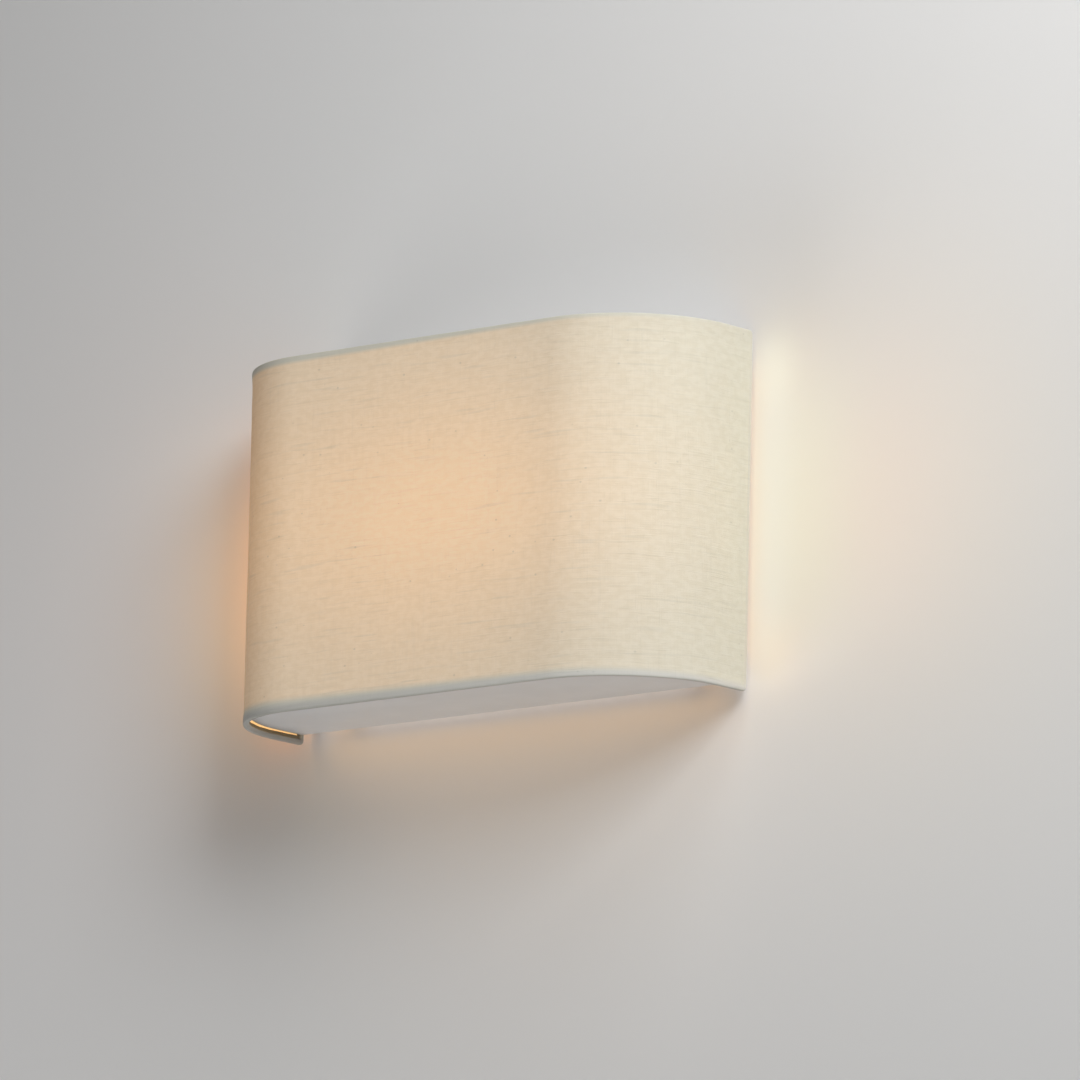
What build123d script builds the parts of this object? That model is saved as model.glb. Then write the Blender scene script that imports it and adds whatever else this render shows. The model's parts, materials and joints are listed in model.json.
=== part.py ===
from build123d import *
import math
import os

# Wall light with a half-oval fabric shade, in millimetres.
# The wall is the plane Y = 0, the light stands in front of it towards -Y, +X is to the right, +Z is up.
# The origin is on the wall, at the middle of the mounting strap.

# ---------------------------------------------------------------- driving dimensions
W = 317.5            # shade, over the fabric, end to end
H = 197.4            # shade, over its hems, top to bottom
D = 89.0             # shade, front to back
R = 66.8             # radius of the two front corners
GAP = 6.35           # from the wall to the shade's back edge
Y_FRONT = -(GAP + D)

FABRIC_T = 0.5       # linen
LINER_T = 0.8        # styrene liner
WIRE_R = 1.2         # wires of the shade frame
HEM_R = WIRE_R + FABRIC_T
WIRE_INSET = 1.3     # wire's axis, in from the fabric's outer face
CORNER_R = 2.0       # bend of the ring wire down to the end rod
Z_RING = H / 2 - HEM_R
Y_ROD = -(GAP + HEM_R)
X_ROD = W / 2 - WIRE_INSET

RECESS = 5.2         # panel's outer face, in from the shade's rim
PANEL_INSET = 3.4    # panel's edge, in from the fabric's outer face
SHEET_T = 1.0        # sheet steel of the pan, the panels and the tray
Y_WEB = -9.0         # front face of the pan's web, and the back edge of the panels
PAN_HALF = 125.0     # pan, half its width
PAN_Z = 90.8         # pan, half its height
Z_PANEL = H / 2 - RECESS            # outer face of the top panel
Z_IN = Z_PANEL - SHEET_T            # its inner face

STRAP_L, STRAP_H, STRAP_T = 184.0, 25.0, 1.9
BOX_SPACING = 88.9   # outlet box screws
SLOT_R, SLOT_L = 2.3, 16.0
STUD_X, STUD_R = 80.0, 2.08

TRAY_X, TRAY_Z, TRAY_Y = 65.0, 42.0, -34.0
BOARD_X, BOARD_Z, BOARD_T, PAD_T = 55.0, 28.0, 1.6, 0.5
LEAD_R = 0.9         # mains leads
FINE_R = 0.6         # low-voltage leads

os.makedirs("parts", exist_ok=True)


# ---------------------------------------------------------------- profile helpers
def d_run(inset, y_back):
    """The open half-oval line, from the left back end round the front to the right back end."""
    hx, yf, r, cx = W / 2 - inset, Y_FRONT + inset, R - inset, W / 2 - R
    Line((-hx, y_back), (-hx, Y_FRONT + R))
    CenterArc((-cx, Y_FRONT + R), r, 180, 90)
    Line((-cx, yf), (cx, yf))
    CenterArc((cx, Y_FRONT + R), r, 270, 90)
    Line((hx, Y_FRONT + R), (hx, y_back))


def strip_face(outer, inner, y_back):
    """The face between two half-oval lines, closed at the two back ends."""
    with BuildLine() as outline:
        d_run(outer, y_back)
        d_run(inner, y_back)
        for s in (-1, 1):
            Line((s * (W / 2 - outer), y_back), (s * (W / 2 - inner), y_back))
    make_face(outline.edges())


def ring_run(s):
    """Centre line of a ring wire with its two bends to the end rods. s is 1 at the top, -1 at the bottom."""
    z, zb = s * Z_RING, s * (Z_RING - CORNER_R)
    yb = Y_ROD - CORNER_R
    k = CORNER_R * (1 - math.sqrt(0.5))
    cx, r, yf = W / 2 - R, R - WIRE_INSET, Y_FRONT + WIRE_INSET
    q = r * math.sqrt(0.5)
    ThreePointArc((-X_ROD, Y_ROD, zb), (-X_ROD, Y_ROD - k, z - s * k), (-X_ROD, yb, z))
    Line((-X_ROD, yb, z), (-X_ROD, Y_FRONT + R, z))
    ThreePointArc((-X_ROD, Y_FRONT + R, z), (-cx - q, Y_FRONT + R - q, z), (-cx, yf, z))
    Line((-cx, yf, z), (cx, yf, z))
    ThreePointArc((cx, yf, z), (cx + q, Y_FRONT + R - q, z), (X_ROD, Y_FRONT + R, z))
    Line((X_ROD, Y_FRONT + R, z), (X_ROD, yb, z))
    ThreePointArc((X_ROD, yb, z), (X_ROD, Y_ROD - k, z - s * k), (X_ROD, Y_ROD, zb))


def round_sweep(path, radius, mode=Mode.ADD):
    with BuildSketch(Plane(origin=path @ 0, z_dir=path % 0)) as section:
        Circle(radius)
    sweep(section.sketch, path=path, mode=mode)


def frame_round(radius, mode):
    """The whole wire frame as a round section of the given radius: both rings and both end rods."""
    for s in (1, -1):
        with BuildLine() as run:
            ring_run(s)
        round_sweep(run.wires()[0], radius, mode)
    with Locations((-X_ROD, Y_ROD, 0), (X_ROD, Y_ROD, 0)):
        Cylinder(radius, 2 * (Z_RING - CORNER_R), mode=mode)


def cyl_y(x, z, y0, y1, radius, mode=Mode.ADD):
    """A round bar along Y from y0 (nearer the wall) to y1 (nearer the viewer)."""
    with Locations((x, (y0 + y1) / 2, z)):
        Cylinder(radius, y0 - y1, rotation=(90, 0, 0), mode=mode)


def block(x0, x1, y0, y1, z0, z1, mode=Mode.ADD):
    with Locations(((x0 + x1) / 2, (y0 + y1) / 2, (z0 + z1) / 2)):
        Box(x1 - x0, abs(y1 - y0), z1 - z0, mode=mode)


def pan_screw(x, z, y_seat, y_end, shank_r, head_r, head_h):
    """A pan-head screw driven in along +Y, its head's underside at y_seat, with a cross recess."""
    cyl_y(x, z, y_end, y_seat, shank_r)
    with BuildSketch(Plane(origin=(x, y_seat, z), x_dir=(1, 0, 0), z_dir=(0, -1, 0))) as head:
        Circle(head_r)
    extrude(head.sketch, amount=head_h, taper=18)
    y_top = y_seat - head_h
    block(x - head_r * 0.5, x + head_r * 0.5, y_top, y_top + head_h * 0.5, z - 0.25, z + 0.25, Mode.SUBTRACT)
    block(x - 0.25, x + 0.25, y_top, y_top + head_h * 0.5, z - head_r * 0.5, z + head_r * 0.5, Mode.SUBTRACT)


def save(piece, name):
    piece.part.label = name
    export_step(piece.part, f"parts/{name}.step")


# ================================================================ shade
# Linen skin, turned over the wire on all four edges: the hem is the same cloth, round the wire.
with BuildPart() as shade_fabric:
    with BuildSketch(Plane.XY.offset(-Z_RING)):
        strip_face(0, FABRIC_T, Y_ROD)
    extrude(amount=2 * Z_RING)
    frame_round(HEM_R, Mode.ADD)
    frame_round(WIRE_R, Mode.SUBTRACT)
save(shade_fabric, "shade_fabric")

# Styrene liner inside the linen, its edges butting on the hems.
with BuildPart() as shade_liner:
    with BuildSketch(Plane.XY.offset(-Z_RING)):
        strip_face(FABRIC_T, FABRIC_T + LINER_T, Y_ROD)
    extrude(amount=2 * Z_RING)
    frame_round(HEM_R, Mode.SUBTRACT)
save(shade_liner, "shade_liner")

with BuildPart() as top_ring:
    with BuildLine() as top_run:
        ring_run(1)
    round_sweep(top_run.wires()[0], WIRE_R)
save(top_ring, "top_ring")

with BuildPart() as bottom_ring:
    with BuildLine() as bottom_run:
        ring_run(-1)
    round_sweep(bottom_run.wires()[0], WIRE_R)
save(bottom_ring, "bottom_ring")

with BuildPart() as left_end_rod:
    with Locations((-X_ROD, Y_ROD, 0)):
        Cylinder(WIRE_R, 2 * (Z_RING - CORNER_R))
save(left_end_rod, "left_end_rod")

with BuildPart() as right_end_rod:
    with Locations((X_ROD, Y_ROD, 0)):
        Cylinder(WIRE_R, 2 * (Z_RING - CORNER_R))
save(right_end_rod, "right_end_rod")

# ================================================================ wall side: strap, pan and panels
with BuildPart() as mounting_strap:
    with BuildSketch(Plane(origin=(0, 0, 0), x_dir=(1, 0, 0), z_dir=(0, -1, 0))):
        RectangleRounded(STRAP_L, STRAP_H, 5)
        with Locations((-BOX_SPACING / 2, 0), (BOX_SPACING / 2, 0)):
            SlotOverall(SLOT_L, 2 * SLOT_R, mode=Mode.SUBTRACT)
        with Locations((-STUD_X, 0), (STUD_X, 0)):
            Circle(STUD_R + 0.02, mode=Mode.SUBTRACT)
    extrude(amount=STRAP_T)
    for x in (-STUD_X, STUD_X):
        cyl_y(x, 0, 0, -1.0, 3.05, Mode.SUBTRACT)
save(mounting_strap, "mounting_strap")

with BuildPart() as strap_studs:
    for x in (-STUD_X, STUD_X):
        cyl_y(x, 0, 0, -0.98, 3.0)
        cyl_y(x, 0, -0.5, -15.0, STUD_R)
    chamfer(strap_studs.faces().sort_by(Axis.Y)[0:2].edges(), 0.4)
save(strap_studs, "strap_studs")

with BuildPart() as stud_washers:
    for x in (-STUD_X, STUD_X):
        cyl_y(x, 0, Y_WEB, Y_WEB - 1.0, 5.5)
        cyl_y(x, 0, Y_WEB, Y_WEB - 1.0, 2.25, Mode.SUBTRACT)
save(stud_washers, "stud_washers")

# Domed hexagon nuts on the studs, blind-bored.
with BuildPart() as cap_nuts:
    for x in (-STUD_X, STUD_X):
        with BuildSketch(Plane(origin=(x, Y_WEB - 1.0, 0), x_dir=(1, 0, 0), z_dir=(0, -1, 0))):
            RegularPolygon(4.7, 6)
        extrude(amount=3.6)
        cyl_y(x, 0, Y_WEB - 4.6, Y_WEB - 6.0, 3.7)
        with BuildSketch(Plane(origin=(x, Y_WEB - 6.0, 0), x_dir=(1, 0, 0), z_dir=(0, 0, 1))):
            with BuildLine():
                Line((0, 0), (3.7, 0))
                ThreePointArc((3.7, 0), (3.7 * math.sqrt(0.5), -3.7 * math.sqrt(0.5)), (0, -3.7))
                Line((0, -3.7), (0, 0))
            make_face()
        revolve(axis=Axis((x, 0, 0), (0, 1, 0)))
        cyl_y(x, 0, Y_WEB - 1.0, -16.0, STUD_R + 0.05, Mode.SUBTRACT)
save(cap_nuts, "cap_nuts")

# Folded pan: web, two side returns and the feet that rest on the wall.
with BuildPart() as back_pan:
    with BuildSketch(Plane.XY.offset(-PAN_Z)):
        with BuildLine():
            t, f = SHEET_T, 9.0
            Polyline(
                (-PAN_HALF, Y_WEB), (PAN_HALF, Y_WEB), (PAN_HALF, 0), (PAN_HALF - f, 0), (PAN_HALF - f, -t),
                (PAN_HALF - t, -t), (PAN_HALF - t, Y_WEB + t), (-PAN_HALF + t, Y_WEB + t), (-PAN_HALF + t, -t),
                (-PAN_HALF + f, -t), (-PAN_HALF + f, 0), (-PAN_HALF, 0), (-PAN_HALF, Y_WEB),
            )
        make_face()
    extrude(amount=2 * PAN_Z)
    upright = back_pan.edges().filter_by(Axis.Z)
    fillet([e for e in upright if abs(abs(e.center().X) - PAN_HALF) < 0.01], 0.9)
    for x in (-STUD_X, STUD_X):
        cyl_y(x, 0, Y_WEB + 2, Y_WEB - 1, 2.6, Mode.SUBTRACT)
    cyl_y(4, -27, Y_WEB + 2, Y_WEB - 1, 9.05, Mode.SUBTRACT)            # supply opening
    for x in (-55, 55):
        for z in (-47, 47):
            cyl_y(x, z, Y_WEB + 2, Y_WEB - 1, 1.6, Mode.SUBTRACT)        # tray screws
    for x, z in ((-47, 27), (47, 27), (-42, -28), (-34, -28)):
        cyl_y(x, z, Y_WEB + 2, Y_WEB - 1, 1.45, Mode.SUBTRACT)           # driver and block screws
    cyl_y(34, -8, Y_WEB + 2, Y_WEB - 1, 2.05, Mode.SUBTRACT)             # ground screw
save(back_pan, "back_pan")


def closing_panel(s):
    """Half-oval sheet with a rear flange on the web and two tabs for the clips. s is 1 at the top."""
    z0 = Z_IN if s > 0 else -Z_PANEL
    with BuildSketch(Plane.XY.offset(z0)) as plate:
        with BuildLine():
            d_run(PANEL_INSET, Y_WEB)
            Line((-(W / 2 - PANEL_INSET), Y_WEB), (W / 2 - PANEL_INSET, Y_WEB))
        make_face()
    extrude(plate.sketch, amount=SHEET_T)


def fold(s, x0, x1, depth):
    """A flange folded in from the panel's back edge."""
    a, b = s * Z_IN, s * (Z_IN - depth)
    block(x0, x1, Y_WEB - SHEET_T, Y_WEB, min(a, b), max(a, b))


def panel_details(piece, s):
    fold(s, -118, 118, 12)
    fold(s, 134, 152, 14)
    fold(s, -152, -134, 14)
    corners = [
        e for e in piece.edges().filter_by(Axis.Z)
        if abs(abs(e.center().X) - (W / 2 - PANEL_INSET)) < 0.01 and abs(e.center().Y - Y_WEB) < 0.01
    ]
    fillet(corners, 1.2)
    tips = [
        e for e in piece.edges().filter_by(Axis.Y)
        if abs(e.center().Z) < Z_IN - 10 and abs(abs(e.center().X) - 126) > 3
        and min(abs(abs(e.center().X) - k) for k in (118, 134, 152)) < 0.01
    ]
    fillet(tips, 2.0)
    for x in (-142, 142):
        cyl_y(x, s * (Z_IN - 6.7), Y_WEB + 1, Y_WEB - 2, 1.55, Mode.SUBTRACT)


with BuildPart() as top_panel:
    closing_panel(1)
    panel_details(top_panel, 1)
save(top_panel, "top_panel")

with BuildPart() as bottom_panel:
    closing_panel(-1)
    panel_details(bottom_panel, -1)
save(bottom_panel, "bottom_panel")

# ================================================================ clips that hold the shade's end rods
CLIP_T, CLIP_H = 0.6, 12.0
CLIP_X = W / 2 - (WIRE_INSET + HEM_R) - 0.3 - CLIP_T / 2      # leaf beside the hem, 0.3 mm clear
CLIP_STOP = -(GAP - 0.15 - CLIP_T / 2)                         # lip behind the hem


def clip(side, z_mid):
    pts = [
        (137.0, Y_WEB - SHEET_T - CLIP_T / 2), (150.4, Y_WEB - SHEET_T - CLIP_T / 2), (153.2, -17.6),
        (CLIP_X, -17.6), (CLIP_X, CLIP_STOP), (157.2, CLIP_STOP),
    ]
    with BuildLine() as run:
        FilletPolyline(*[(side * x, y, z_mid) for x, y in pts], radius=[1.5, 0.8, 0.8, 0.6])
    path = run.wires()[0]
    with BuildSketch(Plane(origin=path @ 0, x_dir=(0, 0, 1), z_dir=path % 0)) as section:
        Rectangle(CLIP_H, CLIP_T)
    sweep(section.sketch, path=path)


with BuildPart() as shade_clips:
    for side in (-1, 1):
        for s in (-1, 1):
            clip(side, s * (Z_IN - 0.4 - CLIP_H / 2))
    for x in (-142, 142):
        for s in (-1, 1):
            cyl_y(x, s * (Z_IN - 6.7), Y_WEB, Y_WEB - 3, 1.55, Mode.SUBTRACT)
save(shade_clips, "shade_clips")

with BuildPart() as clip_rivets:
    for x in (-142, 142):
        for s in (-1, 1):
            z = s * (Z_IN - 6.7)
            cyl_y(x, z, Y_WEB, Y_WEB - SHEET_T - CLIP_T, 1.5)
            with BuildSketch(Plane(origin=(x, Y_WEB - SHEET_T - CLIP_T, z), x_dir=(1, 0, 0), z_dir=(0, -1, 0))):
                Circle(2.6)
            extrude(amount=0.9, taper=35)
            with BuildSketch(Plane(origin=(x, Y_WEB, z), x_dir=(1, 0, 0), z_dir=(0, 1, 0))):
                Circle(2.3)
            extrude(amount=0.7, taper=30)
save(clip_rivets, "clip_rivets")

# ================================================================ supply entry and terminals
with BuildPart() as supply_grommet:
    cyl_y(4, -27, Y_WEB + SHEET_T + 1.5, Y_WEB - 1.5, 11.0)
    with BuildSketch(Plane(origin=(4, Y_WEB + SHEET_T, -27), x_dir=(1, 0, 0), z_dir=(0, -1, 0))):
        Circle(12)
        Circle(9.0, mode=Mode.SUBTRACT)
    extrude(amount=SHEET_T, mode=Mode.SUBTRACT)
    cyl_y(4, -27, 0, -20, 7.0, Mode.SUBTRACT)
save(supply_grommet, "supply_grommet")

POLES = (-46.0, -38.0, -30.0)
with BuildPart() as terminal_block:
    block(-51, -25, Y_WEB - 12, Y_WEB, -36, -20)
    fillet(terminal_block.edges().filter_by(Axis.Y), 1.0)
    for x in (-42, -34):                                       # slots between the poles, with the screw holes
        block(x - 1.7, x + 1.7, Y_WEB - 12, Y_WEB - 5, -36, -20, Mode.SUBTRACT)
        cyl_y(x, -28, Y_WEB, Y_WEB - 6, 1.55, Mode.SUBTRACT)
    for x in POLES:
        for z in (-32, -24):
            cyl_y(x, z, Y_WEB - 7, Y_WEB - 12, 1.7, Mode.SUBTRACT)
        with BuildSketch(Plane(origin=(x, Y_WEB - 5, -36), x_dir=(1, 0, 0), z_dir=(0, 0, 1))):
            Circle(1.1)
        extrude(amount=5, mode=Mode.SUBTRACT)                   # supply side, left open
save(terminal_block, "terminal_block")

with BuildPart() as terminal_screws:
    for x in POLES:
        for z in (-32, -24):
            cyl_y(x, z, Y_WEB - 7, Y_WEB - 11.2, 1.6)
            block(x - 1.7, x + 1.7, Y_WEB - 11.3, Y_WEB - 10.5, z - 0.25, z + 0.25, Mode.SUBTRACT)
save(terminal_screws, "terminal_screws")

with BuildPart() as block_screws:
    for x in (-42, -34):
        pan_screw(x, -28, Y_WEB - 5, Y_WEB + 2.5, 1.4, 1.6, 1.4)
save(block_screws, "block_screws")

with BuildPart() as ground_ring:
    cyl_y(34, -8, Y_WEB, Y_WEB - 0.8, 4.2)
    block(29, 34, Y_WEB - 0.8, Y_WEB, -9.2, -6.8)
    with BuildSketch(Plane(origin=(24, Y_WEB - 1.6, -8), x_dir=(0, 1, 0), z_dir=(1, 0, 0))):
        Circle(1.6)
    extrude(amount=5.4)
    block(23, 31, Y_WEB, Y_WEB + 1, -12, -4, Mode.SUBTRACT)
    cyl_y(34, -8, Y_WEB + 1, Y_WEB - 2, 2.15, Mode.SUBTRACT)
save(ground_ring, "ground_ring")

with BuildPart() as ground_screw:
    cyl_y(34, -8, -4.5, Y_WEB - 0.8, 2.0)
    with BuildSketch(Plane(origin=(34, Y_WEB - 0.8, -8), x_dir=(1, 0, 0), z_dir=(0, -1, 0))):
        RegularPolygon(4.2, 6)
    extrude(amount=2.8)
    block(29, 39, Y_WEB - 3.6, Y_WEB - 2.6, -8.5, -7.5, Mode.SUBTRACT)
save(ground_screw, "ground_screw")

# ================================================================ driver, tray and light board
with BuildPart() as driver_case:
    block(-42, 42, Y_WEB - 21, Y_WEB, 6, 36)
    fillet(driver_case.edges().filter_by(Axis.Y), 2.0)
    fillet(driver_case.faces().sort_by(Axis.Y)[0].edges(), 1.0)
    for s in (-1, 1):
        x0, x1 = (42, 51) if s > 0 else (-51, -42)
        block(x0, x1, Y_WEB - 2.5, Y_WEB, 22, 32)
    for x in (-47, 47):
        cyl_y(x, 27, Y_WEB + 1, Y_WEB - 3, 1.6, Mode.SUBTRACT)
save(driver_case, "driver_case")

with BuildPart() as driver_screws:
    for x in (-47, 47):
        pan_screw(x, 27, Y_WEB - 2.5, Y_WEB + 2.5, 1.4, 2.8, 1.9)
save(driver_screws, "driver_screws")

# Hat section, open at its two ends.
with BuildPart() as led_tray:
    with BuildSketch(Plane(origin=(-TRAY_X, 0, 0), x_dir=(0, 1, 0), z_dir=(1, 0, 0))):
        with BuildLine():
            t, a, b = SHEET_T, TRAY_Z, TRAY_Z + 10
            Polyline(
                (Y_WEB, -b), (Y_WEB, -a + t), (TRAY_Y + t, -a + t), (TRAY_Y + t, a - t), (Y_WEB, a - t), (Y_WEB, b),
                (Y_WEB - t, b), (Y_WEB - t, a), (TRAY_Y, a), (TRAY_Y, -a), (Y_WEB - t, -a), (Y_WEB - t, -b), (Y_WEB, -b),
            )
        make_face()
    extrude(amount=2 * TRAY_X)
    fillet(led_tray.edges().filter_by(Axis.X).filter_by_position(Axis.Y, TRAY_Y - 0.01, TRAY_Y + 0.01), 0.9)
    for x in (-55, 55):
        for z in (-47, 47):
            cyl_y(x, z, Y_WEB + 1, Y_WEB - 3, 1.85, Mode.SUBTRACT)
    for x in (-49, 49):
        for z in (-22, 22):
            cyl_y(x, z, TRAY_Y + 3, TRAY_Y - 1, 1.3, Mode.SUBTRACT)
    cyl_y(0, -35.5, TRAY_Y + 3, TRAY_Y - 1, 3.5, Mode.SUBTRACT)
save(led_tray, "led_tray")

with BuildPart() as tray_screws:
    for x in (-55, 55):
        for z in (-47, 47):
            pan_screw(x, z, Y_WEB - SHEET_T, Y_WEB + 3.5, 1.5, 3.2, 2.1)
save(tray_screws, "tray_screws")

with BuildPart() as tray_grommet:
    cyl_y(0, -35.5, TRAY_Y + SHEET_T + 1.0, TRAY_Y - 1.0, 4.6)
    with BuildSketch(Plane(origin=(0, TRAY_Y + SHEET_T, -35.5), x_dir=(1, 0, 0), z_dir=(0, -1, 0))):
        Circle(6)
        Circle(3.45, mode=Mode.SUBTRACT)
    extrude(amount=SHEET_T, mode=Mode.SUBTRACT)
    cyl_y(0, -35.5, TRAY_Y + 5, TRAY_Y - 5, 2.3, Mode.SUBTRACT)
save(tray_grommet, "tray_grommet")

Y_PAD, Y_BOARD = TRAY_Y - PAD_T, TRAY_Y - PAD_T - BOARD_T
with BuildPart() as thermal_pad:
    block(-BOARD_X + 1, BOARD_X - 1, Y_PAD, TRAY_Y, -BOARD_Z + 1, BOARD_Z - 1)
    for x in (-49, 49):
        for z in (-22, 22):
            cyl_y(x, z, TRAY_Y + 1, Y_PAD - 1, 2.0, Mode.SUBTRACT)
save(thermal_pad, "thermal_pad")

with BuildPart() as led_board:
    block(-BOARD_X, BOARD_X, Y_BOARD, Y_PAD, -BOARD_Z, BOARD_Z)
    fillet(led_board.edges().filter_by(Axis.Y), 3.0)
    for x in (-49, 49):
        for z in (-22, 22):
            cyl_y(x, z, Y_PAD + 1, Y_BOARD - 1, 1.65, Mode.SUBTRACT)
save(led_board, "led_board")

with BuildPart() as led_chips:
    for x in (-40, -24, -8, 8, 24, 40):
        for z in (-14, 0, 14):
            block(x - 2.8, x + 2.8, Y_BOARD - 0.9, Y_BOARD, z - 1.5, z + 1.5)
save(led_chips, "led_chips")

with BuildPart() as board_screws:
    for x in (-49, 49):
        for z in (-22, 22):
            pan_screw(x, z, Y_BOARD, TRAY_Y + 4, 1.25, 2.7, 1.8)
save(board_screws, "board_screws")

Y_CONN = Y_BOARD - 2.6
with BuildPart() as board_connector:
    block(-4.5, 4.5, Y_BOARD - 5.0, Y_BOARD, -26.5, -19.5)
    fillet(board_connector.edges().filter_by(Axis.Y), 0.6)
    block(-3.0, 3.0, Y_BOARD - 5.0, Y_BOARD - 4.2, -24.5, -21.5, Mode.SUBTRACT)
save(board_connector, "board_connector")

# ================================================================ internal leads, clipped between their two ends
LEADS = {
    # mains leads, from the driver's left end down to the block
    "wire_live": (LEAD_R, [
        (-42, -18, 21), (-52, -18, 21), (-58.5, -16.5, 13), (-58.5, -14.5, 1), (-55, -14, -9), (-46, -14, -11.5), (-46, -14, -20),
    ]),
    "wire_neutral": (LEAD_R, [
        (-42, -24, 18), (-51, -24, 18), (-57, -23.5, 11), (-54, -22, 1), (-46, -19.5, -3.5), (-38, -14, -10), (-38, -14, -20),
    ]),
    "wire_ground": (LEAD_R, [
        (-30, -14, -20), (-30, -14, -11), (-23, -13, -4), (-11, -12, -0.5), (3, -11.2, -0.5), (14, -10.6, -8), (24, -10.6, -8),
    ]),
    # low-voltage leads, from the board's connector through the tray to the driver's right end
    "wire_led_plus": (FINE_R, [
        (1.2, Y_CONN, -26.5), (1.2, Y_CONN, -35.5), (1.4, -23.5, -35.5), (14, -21, -35), (32, -21, -31), (50, -21, -21),
        (58, -21.5, -5), (58, -22, 9), (52, -22, 20), (42, -22, 20),
    ]),
    "wire_led_minus": (FINE_R, [
        (-1.2, Y_CONN, -26.5), (-1.2, Y_CONN, -35.5), (-1.2, -19.5, -35.5), (11, -16, -34.5), (30, -16, -30.5), (47, -16, -19),
        (54.5, -16, -4), (55, -17, 6), (51, -17, 15), (42, -17, 15),
    ]),
}


def lead_radii(pts):
    """Largest arcs that the runs allow."""
    out = []
    for a, b, c in zip(pts, pts[1:], pts[2:]):
        u, v = Vector(*b) - Vector(*a), Vector(*c) - Vector(*b)
        turn = math.radians(u.get_angle(v))
        out.append(0.45 * min(u.length, v.length) / math.tan(turn / 2))
    return out


def lead_path(pts):
    with BuildLine() as run:
        FilletPolyline(*pts, radius=lead_radii(pts))
    return run.wires()[0]


def report_lead(name, piece, path, radius, pts):
    want = math.pi * radius * radius * path.length
    print(f"{name}: length {path.length:.1f}, volume {piece.part.volume:.1f} of {want:.1f}, "
          f"radii {[round(r, 1) for r in lead_radii(pts)]}")


with BuildPart() as wire_live:
    live_path = lead_path(LEADS["wire_live"][1])
    round_sweep(live_path, LEAD_R)
report_lead("wire_live", wire_live, live_path, *LEADS["wire_live"])
save(wire_live, "wire_live")

with BuildPart() as wire_neutral:
    neutral_path = lead_path(LEADS["wire_neutral"][1])
    round_sweep(neutral_path, LEAD_R)
report_lead("wire_neutral", wire_neutral, neutral_path, *LEADS["wire_neutral"])
save(wire_neutral, "wire_neutral")

with BuildPart() as wire_ground:
    ground_path = lead_path(LEADS["wire_ground"][1])
    round_sweep(ground_path, LEAD_R)
report_lead("wire_ground", wire_ground, ground_path, *LEADS["wire_ground"])
save(wire_ground, "wire_ground")

with BuildPart() as wire_led_plus:
    plus_path = lead_path(LEADS["wire_led_plus"][1])
    round_sweep(plus_path, FINE_R)
report_lead("wire_led_plus", wire_led_plus, plus_path, *LEADS["wire_led_plus"])
save(wire_led_plus, "wire_led_plus")

with BuildPart() as wire_led_minus:
    minus_path = lead_path(LEADS["wire_led_minus"][1])
    round_sweep(minus_path, FINE_R)
report_lead("wire_led_minus", wire_led_minus, minus_path, *LEADS["wire_led_minus"])
save(wire_led_minus, "wire_led_minus")
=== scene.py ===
import json
import math

import bmesh
import bpy
import numpy as np
from mathutils import Matrix, Vector

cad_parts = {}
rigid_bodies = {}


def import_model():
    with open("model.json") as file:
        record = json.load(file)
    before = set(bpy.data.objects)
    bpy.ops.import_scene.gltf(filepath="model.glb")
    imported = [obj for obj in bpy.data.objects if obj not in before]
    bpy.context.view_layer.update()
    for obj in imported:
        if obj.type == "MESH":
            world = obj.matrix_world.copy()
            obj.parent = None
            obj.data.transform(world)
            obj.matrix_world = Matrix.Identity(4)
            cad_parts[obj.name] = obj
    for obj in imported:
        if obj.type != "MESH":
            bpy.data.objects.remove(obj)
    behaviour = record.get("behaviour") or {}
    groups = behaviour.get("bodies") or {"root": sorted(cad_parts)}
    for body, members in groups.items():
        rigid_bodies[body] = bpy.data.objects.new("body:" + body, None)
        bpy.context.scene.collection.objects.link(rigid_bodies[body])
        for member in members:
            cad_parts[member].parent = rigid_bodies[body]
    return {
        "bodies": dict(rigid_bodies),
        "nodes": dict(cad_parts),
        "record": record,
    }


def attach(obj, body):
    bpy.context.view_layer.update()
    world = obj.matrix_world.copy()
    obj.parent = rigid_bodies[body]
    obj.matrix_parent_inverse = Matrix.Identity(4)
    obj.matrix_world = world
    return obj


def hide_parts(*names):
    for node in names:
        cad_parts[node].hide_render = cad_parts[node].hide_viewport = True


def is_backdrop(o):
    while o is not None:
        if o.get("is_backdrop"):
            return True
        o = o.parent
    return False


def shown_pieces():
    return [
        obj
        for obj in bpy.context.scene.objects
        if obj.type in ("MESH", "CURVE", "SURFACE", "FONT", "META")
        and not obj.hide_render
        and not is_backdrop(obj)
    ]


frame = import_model()
bpy.context.view_layer.update()
NODES, BODIES = frame["nodes"], frame["bodies"]
for o in NODES.values():
    o.data.materials.clear()
for m in list(bpy.data.materials):
    bpy.data.materials.remove(m)
MM = 0.001

# ---------------------------------------------------------------- the shade's sizes, in millimetres, as in the CAD
W, H, D, R, GAP = 317.5, 197.4, 89.0, 66.8, 6.35
Y_FRONT = -(GAP + D)
HEM_R, INSET, CLOTH_R = 1.7, 1.3, 0.8
LINER_IN = 1.3                       # liner's inner face, in from the linen's outer face
Z_RING, Y_ROD = H / 2 - HEM_R, -(GAP + HEM_R)
CX = W / 2 - R
ARC = math.pi / 2 * R
S_END = CX + ARC + (Y_ROD - (Y_FRONT + R))     # from the front's middle along the linen to an end rod


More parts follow.
